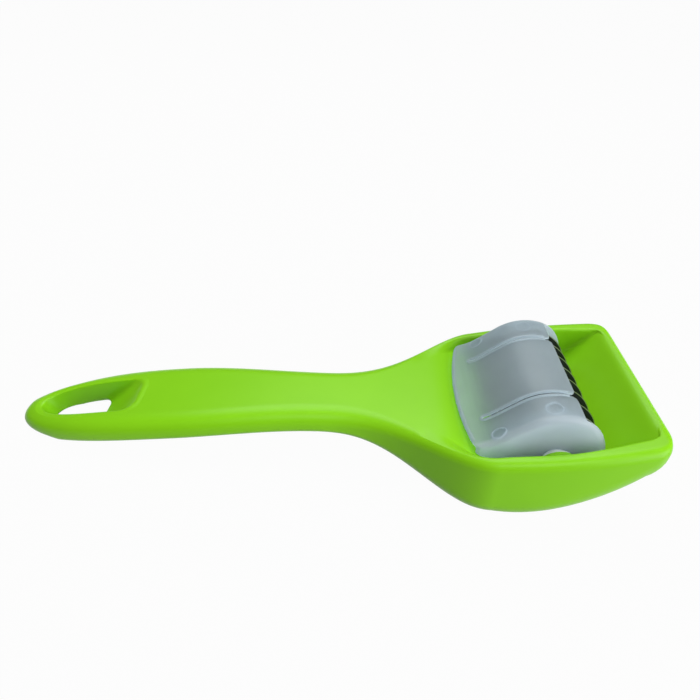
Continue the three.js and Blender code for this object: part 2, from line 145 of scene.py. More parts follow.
def addNode(tree, kind, inputs=None, **settings):
    node = tree.nodes.new(kind)
    for key, value in settings.items():
        setattr(node, key, value)
    for key, value in (inputs or {}).items():
        if isinstance(value, bpy.types.NodeSocket):
            tree.links.new(value, node.inputs[key])
        else:
            node.inputs[key].default_value = value
    return node


def newMaterial(name):
    material = bpy.data.materials.new(name)
    material.use_nodes = True
    tree = material.node_tree
    shader = tree.nodes["Principled BSDF"]
    place = addNode(tree, "ShaderNodeTexCoord").outputs["Object"]
    return material, tree, shader, place


def perMm(size):  # texture scale for a pattern of this size in mm
    return 1 / (size * mm)


def ringGrain(tree, place, size):  # noise that runs in rings round the axle, as turning leaves it
    centre = (axleX * mm, 0, axleZ * mm)
    centred = addNode(tree, "ShaderNodeVectorMath", {0: place, 1: centre}, operation="SUBTRACT")
    flat = addNode(tree, "ShaderNodeVectorMath", {
        0: centred.outputs["Vector"], 1: (1, 0, 1)}, operation="MULTIPLY")
    radius = addNode(tree, "ShaderNodeVectorMath", {0: flat.outputs["Vector"]}, operation="LENGTH")
    rings = addNode(tree, "ShaderNodeTexNoise", {
        "W": radius.outputs["Value"], "Scale": perMm(size), "Detail": 2.0}, noise_dimensions="1D")
    return rings.outputs["Fac"]


# materials

absLook = dict(  # cloud, peel and peelDepth in mm
    deep="#7ec812", light="#8bd41b", cloud=38,
    peel=1.1, peelDepth=0.012, peelStrength=0.25,
    smooth=0.3, rough=0.38, ior=1.3)


def limeAbs():
    # injection moulded ABS: even lime green, a tight gloss, a trace of flow clouds and orange peel
    material, tree, shader, place = newMaterial("limeAbs")
    cloud = addNode(tree, "ShaderNodeTexNoise", {
        "Vector": place, "Scale": perMm(absLook["cloud"]), "Detail": 3.0})
    colour = addNode(tree, "ShaderNodeMix", {
        "Factor": cloud.outputs["Fac"], "A": linear(absLook["deep"]), "B": linear(absLook["light"])},
        data_type="RGBA")
    tree.links.new(colour.outputs["Result"], shader.inputs["Base Color"])
    peel = addNode(tree, "ShaderNodeTexNoise", {
        "Vector": place, "Scale": perMm(absLook["peel"]), "Detail": 2.0})
    gloss = addNode(tree, "ShaderNodeMapRange", {
        "Value": peel.outputs["Fac"], "To Min": absLook["smooth"], "To Max": absLook["rough"]})
    tree.links.new(gloss.outputs["Result"], shader.inputs["Roughness"])
    bump = addNode(tree, "ShaderNodeBump", {
        "Height": peel.outputs["Fac"], "Strength": absLook["peelStrength"],
        "Distance": absLook["peelDepth"] * mm})
    tree.links.new(bump.outputs["Normal"], shader.inputs["Normal"])
    shader.inputs["IOR"].default_value = absLook["ior"]
    return material


frostLook = dict(  # sizes in mm; the grit is drawn coarser than a real frost, so that it shows
    cloud=9, grit=0.5, gritDepth=0.02, gritStrength=0.3,
    smooth=0.34, rough=0.44, ior=1.49,
    thinTo=58, thickFrom=70, cheekFrom=27, cheekTo=29.5)  # the tail along X and the cheeks along Y
# clear: the share seen through, glow: the share scattered, passes: the share of light let on to what is behind
wallFrost = dict(
    thin="#c4ced4", milk="#ced8dd", clear=0.7, edgeClear=0.78, cheekClear=0.34, glow=0.45, passes=0.85)
edgeFrost = dict(
    thin="#ccd5da", milk="#d6dee2", clear=0.57, edgeClear=0.67, cheekClear=0.7, glow=0.43, passes=0.82)


def frostedPolypropylene(name, frosting):
    # moulded polypropylene with a spark-eroded frost: milky and cool, what lies behind shows as a haze
    material, tree, shader, place = newMaterial(name)
    cloud = addNode(tree, "ShaderNodeTexNoise", {
        "Vector": place, "Scale": perMm(frostLook["cloud"]), "Detail": 3.0})
    colour = addNode(tree, "ShaderNodeMix", {
        "Factor": cloud.outputs["Fac"], "A": linear(frosting["thin"]), "B": linear(frosting["milk"])},
        data_type="RGBA")
    tree.links.new(colour.outputs["Result"], shader.inputs["Base Color"])
    grit = addNode(tree, "ShaderNodeTexNoise", {
        "Vector": place, "Scale": perMm(frostLook["grit"]), "Detail": 2.0})
    gloss = addNode(tree, "ShaderNodeMapRange", {
        "Value": grit.outputs["Fac"], "To Min": frostLook["smooth"], "To Max": frostLook["rough"]})
    tree.links.new(gloss.outputs["Result"], shader.inputs["Roughness"])
    bump = addNode(tree, "ShaderNodeBump", {
        "Height": grit.outputs["Fac"], "Strength": frostLook["gritStrength"],
        "Distance": frostLook["gritDepth"] * mm})
    tree.links.new(bump.outputs["Normal"], shader.inputs["Normal"])
    shader.inputs["IOR"].default_value = frostLook["ior"]
    split = addNode(tree, "ShaderNodeSeparateXYZ", {"Vector": place})
    clear = addNode(tree, "ShaderNodeMapRange", {  # clearer towards the thin tail
        "Value": split.outputs["X"], "From Min": frostLook["thinTo"] * mm,
        "From Max": frostLook["thickFrom"] * mm, "To Min": frosting["edgeClear"], "To Max": frosting["clear"]},
        interpolation_type="SMOOTHSTEP")
    across = addNode(tree, "ShaderNodeMath", {0: split.outputs["Y"]}, operation="ABSOLUTE")
    cheeks = addNode(tree, "ShaderNodeMapRange", {  # milkier on the two cheeks
        "Value": across.outputs["Value"], "From Min": frostLook["cheekFrom"] * mm,
        "From Max": frostLook["cheekTo"] * mm, "To Min": 1.0, "To Max": frosting["cheekClear"]},
        interpolation_type="SMOOTHSTEP")
    weight = addNode(tree, "ShaderNodeMath", {
        0: clear.outputs["Result"], 1: cheeks.outputs["Result"]}, operation="MULTIPLY")
    tree.links.new(weight.outputs["Value"], shader.inputs["Transmission Weight"])
    scatter = addNode(tree, "ShaderNodeBsdfTranslucent", {"Color": colour.outputs["Result"]})
    milky = addNode(tree, "ShaderNodeMixShader", {
        "Fac": frosting["glow"], 1: shader.outputs["BSDF"], 2: scatter.outputs["BSDF"]})
    rays = addNode(tree, "ShaderNodeLightPath")  # most light passes on to what lies behind
    share = addNode(tree, "ShaderNodeMath", {
        0: rays.outputs["Is Shadow Ray"], 1: frosting["passes"]}, operation="MULTIPLY")
    through = addNode(tree, "ShaderNodeBsdfTransparent", {"Color": linear(frosting["milk"])})
    mixed = addNode(tree, "ShaderNodeMixShader", {
        "Fac": share.outputs["Value"], 1: milky.outputs["Shader"], 2: through.outputs["BSDF"]})
    tree.links.new(mixed.outputs["Shader"], tree.nodes["Material Output"].inputs["Surface"])
    return material


nylonLook = dict(  # grain and grainDepth in mm, drawn coarse enough to show
    dark="#121314", worn="#1d1e20", grain=0.8, grainDepth=0.02, grainStrength=0.3, rough=0.45, ior=1.53)


def blackNylon():
    # moulded black nylon: deep, slightly uneven satin
    material, tree, shader, place = newMaterial("blackNylon")
    grain = addNode(tree, "ShaderNodeTexNoise", {
        "Vector": place, "Scale": perMm(nylonLook["grain"]), "Detail": 3.0})
    colour = addNode(tree, "ShaderNodeMix", {
        "Factor": grain.outputs["Fac"], "A": linear(nylonLook["dark"]), "B": linear(nylonLook["worn"])},
        data_type="RGBA")
    tree.links.new(colour.outputs["Result"], shader.inputs["Base Color"])
    bump = addNode(tree, "ShaderNodeBump", {
        "Height": grain.outputs["Fac"], "Strength": nylonLook["grainStrength"],
        "Distance": nylonLook["grainDepth"] * mm})
    tree.links.new(bump.outputs["Normal"], shader.inputs["Normal"])
    shader.inputs["Roughness"].default_value = nylonLook["rough"]
    shader.inputs["IOR"].default_value = nylonLook["ior"]
    return material


acetalLook = dict(shade="#e4e6e0", white="#f4f5f1", cloud=3, rough=0.35, ior=1.48)  # cloud in mm


def whiteAcetal():
    # turned white acetal: dense, waxy white
    material, tree, shader, place = newMaterial("whiteAcetal")
    cloud = addNode(tree, "ShaderNodeTexNoise", {
        "Vector": place, "Scale": perMm(acetalLook["cloud"]), "Detail": 2.0})
    colour = addNode(tree, "ShaderNodeMix", {
        "Factor": cloud.outputs["Fac"], "A": linear(acetalLook["shade"]), "B": linear(acetalLook["white"])},
        data_type="RGBA")
    tree.links.new(colour.outputs["Result"], shader.inputs["Base Color"])
    shader.inputs["Roughness"].default_value = acetalLook["rough"]
    shader.inputs["IOR"].default_value = acetalLook["ior"]
    return material


coatLook = dict(dark="#0b0c0e", light="#15171a", swirl=0.6, rough=0.5, ior=1.4)  # swirl in mm


def blackCoating():
    # sprayed black non-stick coat on the disc faces: deep and satin, with a faint ring grain
    material, tree, shader, place = newMaterial("blackCoating")
    rings = ringGrain(tree, place, coatLook["swirl"])
    colour = addNode(tree, "ShaderNodeMix", {
        "Factor": rings, "A": linear(coatLook["dark"]), "B": linear(coatLook["light"])}, data_type="RGBA")
    tree.links.new(colour.outputs["Result"], shader.inputs["Base Color"])
    shader.inputs["Roughness"].default_value = coatLook["rough"]
    shader.inputs["IOR"].default_value = coatLook["ior"]
    return material


steelLook = dict(  # scratch in mm
    edge="#cbc8c0", edgeDark="#a6a299", edgeRough=0.4,
    shaft="#b9bcc0", shaftDark="#9a9da1", shaftRough=0.25,
    scratch=0.25, roughSpread=0.06)


def turnedSteel(name, darkHex, lightHex, roughness):
    # stainless steel finished on a lathe or grinder: fine rings round the axle, drawn coarse enough to show
    material, tree, shader, place = newMaterial(name)
    rings = ringGrain(tree, place, steelLook["scratch"])
    colour = addNode(tree, "ShaderNodeMix", {
        "Factor": rings, "A": linear(darkHex), "B": linear(lightHex)}, data_type="RGBA")
    tree.links.new(colour.outputs["Result"], shader.inputs["Base Color"])
    gloss = addNode(tree, "ShaderNodeMapRange", {
        "Value": rings, "To Min": roughness - steelLook["roughSpread"],
        "To Max": roughness + steelLook["roughSpread"]})
    tree.links.new(gloss.outputs["Result"], shader.inputs["Roughness"])
    shader.inputs["Metallic"].default_value = 1
    return material


green = limeAbs()
frost = frostedPolypropylene("frostedPolypropylene", wallFrost)
thickFrost = frostedPolypropylene("frostedPolypropyleneEdge", edgeFrost)
black = blackNylon()
white = whiteAcetal()
coating = blackCoating()
groundSteel = turnedSteel("groundSteel", steelLook["edgeDark"], steelLook["edge"], steelLook["edgeRough"])
shaftSteel = turnedSteel("shaftSteel", steelLook["shaftDark"], steelLook["shaft"], steelLook["shaftRough"])
print("materials made")


# handle and hood: one moulding, drawn as half of it and mirrored; sizes in mm
hood = dict(
    bowToAxle=35.6, axleToShoulder=19.9, flareLength=62, palmFromTip=63,  # along its length
    palmHalf=18.3, neckHalf=14.7, thick=9.8, flareSkew=1.4, tipFull=2.7,  # the handle in plan
    shoulderDrop=1, bowDrop=3, bowCorner=7.2,  # the hood in plan
    gripEdgeWide=7, gripEdgeHigh=5.5, gripUnder=3.5, rimEdge=3.5, hoodUnder=7, bowUnder=16,  # rounded edges
    tipTop=4.2, tipUnder=1, leastHalf=0.4, edgeMost=0.55, roundMost=0.9,
    crownHigh=22, crownFromNeck=12, archRadius=525,  # the handle's arch
    rimBowHigh=37.2, rimSlope=0.1846, rimBlend=2,  # the slope of the rim
    keelFromShoulder=5, keelSkew=1.15, riseFromAxle=15.9, riseLength=54.5, riseHigh=36,  # the underside
    padHigh=0.4, padLong=20, padHalf=27, padRoot=1.5, padRound=0.3, padSteps=3,  # the rest pad
    rimLand=5.1, bowLand=7.2, endLand=4.4, leastLand=0.2, draft=0.035, corner=0.6,  # the pocket's mouth
    fillet=2, filletMost=0.6, rimRound=1.1, rimMost=0.3,  # Most: the share of the depth it may take
    bayRoom=0.7, bayFrom=190, bayTo=360,  # the bay round the discs, from and to in degrees
    rollRun=20, rollCrest=11, rollSoft=26, rollBand=6, rollOut=2.5,  # the rolled left edge
    rollSink=2.4, rollBlend=1, rollLead=0.3,
    rampDepth=7.9, rampRun=6.5, rampBlend=0.7, rampPast=0.35,  # the ramp at the right
    endBand=4, endLead=1, endRun=2,
    tipGap=0.6, holeGap=1.2, bowGap=0.1, bowLead=3, bowFade=1.6,  # between runs of sections
)
hole = dict(
    fromTip=7.5, long=40.5, land=8.9, taper=3.6, inset=0.5, ramp=15.5, deep=8.2,  # the hang hole
    corner=5, lip=2.2, underLip=0.8, tipSlope=3.8, fan=1.5, edgeShare=0.15, footShare=0.9, softer=3)
stations = dict(  # sections in each run along the length
    tip=16, grip=26, flare=24, roll=36, bay=40, ramp=24, past=8, bow=24, holeSide=40, holeEnd=8)
steps = dict(floor=9, fillet=8, wall=5, rim=6, land=5, edge=10, side=6, under=10, belly=8)  # in a section
almost = 0.999  # a pocket section that is still drawn over the plain top

tipX = cadLow.x / mm
bowX = cadHigh.x / mm
headHalf = cadHigh.y / mm
discLow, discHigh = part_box("cutting_disc_1")
discRadius = (discHigh.x - discLow.x) / 2 / mm
shoulderX = axleX - hood["axleToShoulder"]
neckX = shoulderX - hood["flareLength"]
palmX = tipX + hood["palmFromTip"]
crownX = neckX + hood["crownFromNeck"]
keelX = shoulderX - hood["keelFromShoulder"]
riseX = axleX - hood["riseFromAxle"]
endX = bowX - hood["endLand"]
bayRadius = discRadius + hood["bayRoom"]


def halfWidth(x):
    if x < palmX:
        t = (palmX - x) / (palmX - tipX)
        return hood["palmHalf"] * math.sqrt(max(1 - t ** hood["tipFull"], 0))
    if x < neckX:
        return ease(hood["palmHalf"], hood["neckHalf"], (x - palmX) / (neckX - palmX))
    if x < shoulderX:
        t = ((x - neckX) / hood["flareLength"]) ** hood["flareSkew"]
        return ease(hood["neckHalf"], headHalf - hood["shoulderDrop"], t)
    t = (x - axleX) / (hood["axleToShoulder"] if x < axleX else hood["bowToAxle"])
    drop = hood["shoulderDrop"] if x < axleX else hood["bowDrop"]
    return headHalf - drop * t * t - roundIn(bowX - x, hood["bowCorner"])


def archHeight(x):
    return hood["crownHigh"] - (x - crownX) ** 2 / (2 * hood["archRadius"])


def rimHeight(x):
    return hood["rimBowHigh"] - hood["rimSlope"] * (bowX - x)


def softMax(a, b, blend):
    return blend * math.log(math.exp(a / blend) + math.exp(b / blend))


def topHeight(x):  # the handle's arch runs over into the slope of the rim
    return softMax(archHeight(x), rimHeight(x), hood["rimBlend"])


def bottomHeight(x):  # the handle's underside, the keel, the rise to the bow
    under = max(archHeight(min(x, neckX)) - hood["thick"], 0)
    keel = ease(under, hood["padHigh"], max((x - neckX) / (keelX - neckX), 0) ** hood["keelSkew"])
    along = max(x - riseX, 0) / hood["riseLength"]
    return keel + hood["riseHigh"] * (1 - math.sqrt(1 - along * along))


def sectionAt(x):  # the outer section: half width, top, bottom and its rounded edges
    bowIn = roundIn(bowX - x, hood["rimEdge"])
    top = topHeight(x) - roundIn(x - tipX, hood["tipTop"]) - bowIn
    bottom = bottomHeight(x) + roundIn(x - tipX, hood["tipUnder"]) + bowIn
    half = max(halfWidth(x) - bowIn, hood["leastHalf"])
    flare = (x - neckX) / hood["flareLength"]
    room = top - bottom
    edgeHigh = min(ease(hood["gripEdgeHigh"], hood["rimEdge"], flare), room * hood["edgeMost"])
    edgeWide = min(ease(hood["gripEdgeWide"], hood["rimEdge"], flare), half * hood["roundMost"])
    under = ease(hood["gripUnder"], hood["hoodUnder"], flare)
    under = ease(under, hood["bowUnder"], (x - shoulderX) / (bowX - shoulderX))
    under = min(under, half * hood["roundMost"], (room - edgeHigh) * hood["roundMost"])
    return dict(half=half, top=top, bottom=bottom, edgeHigh=edgeHigh, edgeWide=edgeWide, under=under)


def onTop(x, y):  # a point of the unbroken top, with its rounded edge
    s = sectionAt(x)
    past = min(max((y - s["half"] + s["edgeWide"]) / s["edgeWide"], 0), 1)
    return Vector((x, y, s["top"] - s["edgeHigh"] * (1 - math.sqrt(1 - past * past))))


topColumns = sum(steps[k] for k in ("floor", "fillet", "wall", "rim", "land", "edge"))
bandColumns = steps["fillet"] + steps["wall"] + steps["rim"]


def evenShares():  # shares of the way across the top, closer together over the rounded edge
    return [1 - (1 - i / topColumns) ** 2 for i in range(topColumns + 1)]


def pocketProfile(x, floor, soft, band, out):  # across the top from the middle to the side, as y and z
    s = sectionAt(x)
    mouth = s["top"]
    depth = max(mouth - floor, 0)
    land = ease(hood["rimLand"], hood["bowLand"], (x - axleX) / (endX - axleX))
    half = halfWidth(x) - land - roundIn(endX - x, hood["corner"])
    foot = half - hood["draft"] * depth
    fillet = min(hood["fillet"], depth * hood["filletMost"])
    rim = min(hood["rimRound"], depth * hood["rimMost"])
    wall = []
    for i in range(1, steps["fillet"] + 1):
        a = math.pi / 2 * i / steps["fillet"]
        wall.append((foot - fillet + fillet * math.sin(a), floor + fillet - fillet * math.cos(a)))
    for i in range(1, steps["wall"] + 1):
        t = i / steps["wall"]
        wall.append((lerp(foot, half, t), lerp(floor + fillet, mouth - rim, t)))
    for i in range(1, steps["rim"] + 1):
        a = math.pi / 2 * i / steps["rim"]
        wall.append((half + rim - rim * math.cos(a), mouth - rim + rim * math.sin(a)))
    topY = half + out
    topZ = onTop(x, topY).z
    mixed = []
    for i, (y, z) in enumerate(wall):
        up = (i + 1) / bandColumns
        mixed.append((lerp(y, topY - band * (1 - up), soft), lerp(z, ease(floor, topZ, up), soft)))
    start = lerp(foot - fillet, topY - band, soft)
    flat = [(start * i / steps["floor"], floor) for i in range(steps["floor"] + 1)]
    landStart = mixed[-1][0]
    landEnd = max(s["half"] - s["edgeWide"], landStart + hood["leastLand"])
    outer = [lerp(landStart, landEnd, i / steps["land"]) for i in range(1, steps["land"] + 1)]
    for i in range(1, steps["edge"] + 1):
        outer.append(landEnd + (s["half"] - landEnd) * math.sin(math.pi / 2 * i / steps["edge"]))
    return flat + mixed + [(y, onTop(x, y).z) for y in outer]


def skirtPoints(x, inner):  # from the top edge down the side and under to the inner point of the belly
    s = sectionAt(x)
    low = s["bottom"] + s["under"]
    high = s["top"] - s["edgeHigh"]
    points = [Vector((x, s["half"], z)) for z in even(high, low, steps["side"])[1:]]
    for i in range(1, steps["under"] + 1):
        a = math.pi / 2 * i / steps["under"]
        y = s["half"] - s["under"] * (1 - math.cos(a))
        points.append(Vector((x, y, low - s["under"] * math.sin(a))))
    for i in range(1, steps["belly"] + 1):
        t = i / steps["belly"]
        px, py = lerp(x, inner.x, t), lerp(s["half"] - s["under"], inner.y, t)
        points.append(Vector((px, py, sectionAt(px)["bottom"])))
    return points


def plainRing(x):  # a section of the handle, with nothing cut into it
    shares = evenShares()
    half = sectionAt(x)["half"]
    return [onTop(x, half * g) for g in shares] + skirtPoints(x, Vector((x, 0)))


def pocketRing(x, floor, soft, band, out, featured=1):  # a section through the pocket
    profile = pocketProfile(x, floor, soft, band, out)
    half = sectionAt(x)["half"]
    ring = []
    for (y, z), share in zip(profile, evenShares()):
        if featured < 1:
            ring.append(onTop(x, lerp(half * share, y, featured)))
        else:
            ring.append(Vector((x, y, z)))
    return ring + skirtPoints(x, Vector((x, 0)))


def holeOutline(inset, rightX, outset, slope=0):  # half of the hang hole in plan, from tip to square end
    leftX = tipX + hole["fromTip"] + inset + slope
    widest = halfWidth(tipX + hole["fromTip"] + hole["long"]) - hole["land"] - inset
    points = []
    for x in spread(leftX, rightX, stations["holeSide"]):
        along = (rightX - x) / (rightX - leftX)
        y = widest * math.sqrt(max(1 - along ** hole["taper"], 0)) - roundIn(rightX - x, hole["corner"])
        points.append(Vector((x, max(y, 0))))
    points += [Vector((rightX, y)) for y in even(points[-1].y, 0, stations["holeEnd"])[1:]]
    grown = []
    for i, p in enumerate(points):
        before = points[i - 1] if i else Vector((p.x, -points[1].y))
        after = points[i + 1] if i + 1 < len(points) else Vector((p.x, -1))
        along = (after - before).normalized()
        grown.append(p + Vector((-along.y, along.x)) * outset)
    grown[0].y = 0
    grown[-1].y = 0
    return grown


def rounded(points, times):  # corners of a run of points cut off again and again, ends kept
    for _ in range(times):
        cut = [points[0]]
        for a, b in zip(points, points[1:]):
            cut += [a.lerp(b, 0.25), a.lerp(b, 0.75)]
        points = cut + [points[-1]]
    return points


def holeStations():  # sections that fan out from the hole's edge, and the hole's wall
    rightX = tipX + hole["fromTip"] + hole["long"]
    throatX = rightX - hole["ramp"]
    top = holeOutline(0, rightX, 0)
    topLip = holeOutline(0, rightX, hole["lip"])
    throat = holeOutline(hole["inset"], throatX, 0, hole["tipSlope"])
    under = holeOutline(0, throatX + hole["underLip"], 0, hole["tipSlope"])
    underLip = holeOutline(0, throatX + hole["underLip"], hole["underLip"], hole["tipSlope"])
    outerX = even(topLip[0].x - hole["fan"], topLip[-1].x + hole["fan"], len(top) - 1)
    rings, walls = [], []
    for k, x in enumerate(outerX):
        half = sectionAt(x)["half"]
        across = [topLip[k].lerp(Vector((x, half)), g) for g in evenShares()]
        rings.append([onTop(p.x, p.y) for p in across] + skirtPoints(x, underLip[k]))
        edge = Vector((*top[k], onTop(*topLip[k]).z))
        lowZ = max(topHeight(throat[k].x) - hole["deep"], bottomHeight(throat[k].x) + hole["underLip"])
        low = Vector((*throat[k], lowZ))
        wall = [
            rings[-1][0],
            edge,
            edge.lerp(low, hole["edgeShare"]),
            edge.lerp(low, hole["footShare"]),
            low,
            Vector((*under[k], sectionAt(under[k].x)["bottom"])),
            rings[-1][-1],
        ]
        walls.append(rounded(wall, hole["softer"]))
    return rings, walls


def pocketStations():  # sections from the rolled left edge, round the bay and up the ramp
    def bay(degrees):
        a = math.radians(degrees)
        return Vector((axleX + bayRadius * math.cos(a), axleZ + bayRadius * math.sin(a)))

    def curve(a, b, c, t):
        return a.lerp(b, t).lerp(b.lerp(c, t), t)

    rollEnd = bay(hood["bayFrom"])
    startX = rollEnd.x - hood["rollRun"]
    rollStart = Vector((startX, topHeight(startX)))
    crest = Vector((startX + hood["rollCrest"], rollStart.y - hood["rollSink"]))
    rampEnd = Vector((endX, rimHeight(endX)))
    foot = Vector((endX - hood["rampRun"], rampEnd.y - hood["rampDepth"]))
    past = rampEnd + (rampEnd - foot) * hood["rampPast"]
    floor = [curve(rollStart, crest, rollEnd, t) for t in even(-hood["rollLead"], 1, stations["roll"])]
    floor += [bay(degrees) for degrees in even(hood["bayFrom"], hood["bayTo"], stations["bay"])[1:]]
    floor += [curve(bay(hood["bayTo"]), foot, rampEnd, t) for t in even(0, 1, stations["ramp"])[1:]]
    floor += [rampEnd.lerp(past, t) for t in even(0, 1, stations["past"])[1:]]
    rings = []
    for p in floor:
        rolling = p.x < axleX
        blend = hood["rollBlend"] if rolling else hood["rampBlend"]
        low = -softMax(-p.y, -topHeight(p.x), blend)
        roll = 1 - ease(0, 1, (p.x - startX) / hood["rollSoft"])
        end = ease(0, 1, (p.x - endX + hood["endLead"]) / hood["endRun"])
        if rolling:
            rings.append(pocketRing(p.x, low, roll, hood["rollBand"], hood["rollOut"]))
        else:
            rings.append(pocketRing(p.x, low, end, hood["endBand"], 0))
    return floor[0].x, floor[-1].x, rings


def hoodMesh():
    holeRings, holeWalls = holeStations()
    startX, pastX, pocketRings = pocketStations()
    firstX, lastX = holeRings[0][topColumns].x, holeRings[-1][topColumns].x
    rings = [plainRing(x) for x in spread(tipX, firstX - hood["tipGap"], stations["tip"])]
    holeAt = len(rings)
    rings += holeRings
    rings += [plainRing(x) for x in even(lastX + hood["holeGap"], neckX, stations["grip"])]
    for x in even(neckX, startX, stations["flare"])[1:-1]:
        featured = ease(0, almost, (x - neckX) / (startX - neckX))
        rings.append(pocketRing(x, topHeight(x), 1, hood["rollBand"], hood["rollOut"], featured))
    rings += pocketRings
    for x in spread(pastX - hood["bowLead"], bowX, stations["bow"]):
        if x > pastX + hood["bowGap"]:
            featured = almost * (1 - ease(0, 1, (x - pastX) / hood["bowFade"]))
            rings.append(pocketRing(x, topHeight(x), 1, hood["endBand"], 0, featured))
    bm = bmesh.new()
    grid = [[bm.verts.new(p * mm) for p in ring] for ring in rings]
    for a, b in zip(grid, grid[1:]):
        for j in range(len(a) - 1):
            bm.faces.new((a[j], a[j + 1], b[j + 1], b[j]))
    wallGrid = []
    for k, wall in enumerate(holeWalls):
        ends = grid[holeAt + k]
        wallGrid.append([ends[0]] + [bm.verts.new(p * mm) for p in wall[1:-1]] + [ends[-1]])
    for a, b in zip(wallGrid, wallGrid[1:]):
        for j in range(len(a) - 1):
            bm.faces.new((a[j + 1], a[j], b[j], b[j + 1]))
    bm.faces.new(grid[0])
    bm.faces.new(list(reversed(grid[-1])))
    half = bm.verts[:] + bm.edges[:] + bm.faces[:]
    bmesh.ops.mirror(bm, geom=half, axis="Y", merge_dist=weldGap)
    bmesh.ops.dissolve_degenerate(bm, dist=sliver, edges=bm.edges[:])
    bmesh.ops.recalc_face_normals(bm, faces=bm.faces[:])
    return meshFrom("handle_hood_skin", bm)


objectFrom("handle_hood_skin", hoodMesh(), "hood", "green_abs", green, "handle_hood")


def padMesh():  # the low flat pad under the keel, its lower edges eased
    bm = bmesh.new()
    size = Matrix.Diagonal((hood["padLong"], 2 * hood["padHalf"], hood["padRoot"], 1))
    centre = Matrix.Translation(((keelX + riseX) / 2, 0, hood["padRoot"] / 2))
    bmesh.ops.create_cube(bm, size=1, matrix=Matrix.Scale(mm, 4) @ centre @ size)
    low = [e for e in bm.edges if all(v.co.z < hood["padHigh"] * mm for v in e.verts)]
    bmesh.ops.bevel(bm, geom=low, offset=hood["padRound"] * mm, segments=hood["padSteps"], affect="EDGES")
    return meshFrom("rest_pad", bm)


objectFrom("rest_pad", padMesh(), "hood", "green_abs", green)
print("handle and hood drawn")


# turned pieces: discs, spacers, collars, axle and bushes; sizes in mm, creases in degrees
roller = dict(
    bevel=1.8, edge=0.12, bright=0.28, boreRoom=0.15,
    spacerRound=0.5, roundSteps=4, shaftCore=0.001, shaftChamfer=0.5,
    discSegments=160, ringSegments=96, shaftSegments=64,
    discCrease=10, ringCrease=40, shaftCrease=30)


def turnedMesh(name, section, segments):  # section: radius and place along Y in mm, once round
    bm = bmesh.new()
    rings = []
    for radius, y in section:
        ring = []
        for i in range(segments):
            a = 2 * math.pi * i / segments
            place = Vector((axleX + radius * math.cos(a), y, axleZ + radius * math.sin(a)))
            ring.append(bm.verts.new(place * mm))
        rings.append(ring)
    for k, ring in enumerate(rings):
        other = rings[(k + 1) % len(rings)]
        for i in range(segments):
            n = (i + 1) % segments
            bm.faces.new((ring[i], ring[n], other[n], other[i]))
    bmesh.ops.recalc_face_normals(bm, faces=bm.faces[:])
    return meshFrom(name, bm)


def sharpen(piece, degrees):  # flats stay flat and turned edges stay crisp
    piece.data.set_sharp_from_angle(angle=math.radians(degrees))


def span(node):  # a turned node's radius, and its start and end along Y, in mm
    low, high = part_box(node)
    return (high.x - low.x) / 2 / mm, low.y / mm, high.y / mm


def edgeRound(section, radius):  # rounds the two outer corners of a plain ring
    (bore, a), (outer, _), (_, b), _ = section
    turn = even(0, math.pi / 2, roller["roundSteps"])
    core = outer - radius
    first = [(core + radius * math.sin(t), a + radius - radius * math.cos(t)) for t in turn]
    second = [(core + radius * math.cos(t), b - radius + radius * math.sin(t)) for t in turn]
    return [(bore, a)] + first + second + [(bore, b)]


axleRadius, axleStart, axleEnd = span("axle")
bore = axleRadius + roller["boreRoom"]

for node in sorted(n for n in frame["nodes"] if n.startswith("cutting_disc")):
    radius, start, end = span(node)
    middle = (start + end) / 2
    tip = roller["edge"] / 2
    thick = lerp(tip, (end - start) / 2, roller["bright"] / roller["bevel"])
    section = [
        (bore, start), (radius - roller["bevel"], start), (radius - roller["bright"], middle - thick),
        (radius, middle - tip), (radius, middle + tip),
        (radius - roller["bright"], middle + thick), (radius - roller["bevel"], end), (bore, end)]
    mesh = turnedMesh(node, section, roller["discSegments"])
    disc = objectFrom(node + "_ground", mesh, "roller", "blade_steel", coating, node)
    disc.data.materials.append(groundSteel)
    for polygon in disc.data.polygons:
        rim = Vector((polygon.center.x - axleX * mm, polygon.center.z - axleZ * mm)).length
        polygon.material_index = 1 if rim > (radius - roller["bright"]) * mm else 0
    sharpen(disc, roller["discCrease"])

for node in sorted(n for n in frame["nodes"] if n.startswith(("spacer", "end_collar"))):
    radius, start, end = span(node)
    section = edgeRound([(bore, start), (radius, start), (radius, end), (bore, end)], roller["spacerRound"])
    mesh = turnedMesh(node, section, roller["ringSegments"])
    ring = objectFrom(node + "_moulded", mesh, "roller", "black_nylon", black, node)
    sharpen(ring, roller["ringCrease"])

core, cut = roller["shaftCore"], roller["shaftChamfer"]
section = [
    (core, axleStart), (axleRadius - cut, axleStart), (axleRadius, axleStart + cut),
    (axleRadius, axleEnd - cut), (axleRadius - cut, axleEnd), (core, axleEnd)]
mesh = turnedMesh("axle", section, roller["shaftSegments"])
shaft = objectFrom("axle_turned", mesh, "roller", "axle_steel", shaftSteel, "axle")
sharpen(shaft, roller["shaftCrease"])
print("roller drawn")


bush = dict(
    hub=5, spigot=4, spigotLong=3.2, flange=3.1, hollowRoom=0.3, round=0.6, roundSteps=5, hubEase=0.3,
    seat=0.3, bossWall=3, bossIn=1.45, bossDeep=2.5, bossEase=0.2, bossSpread=0.3)


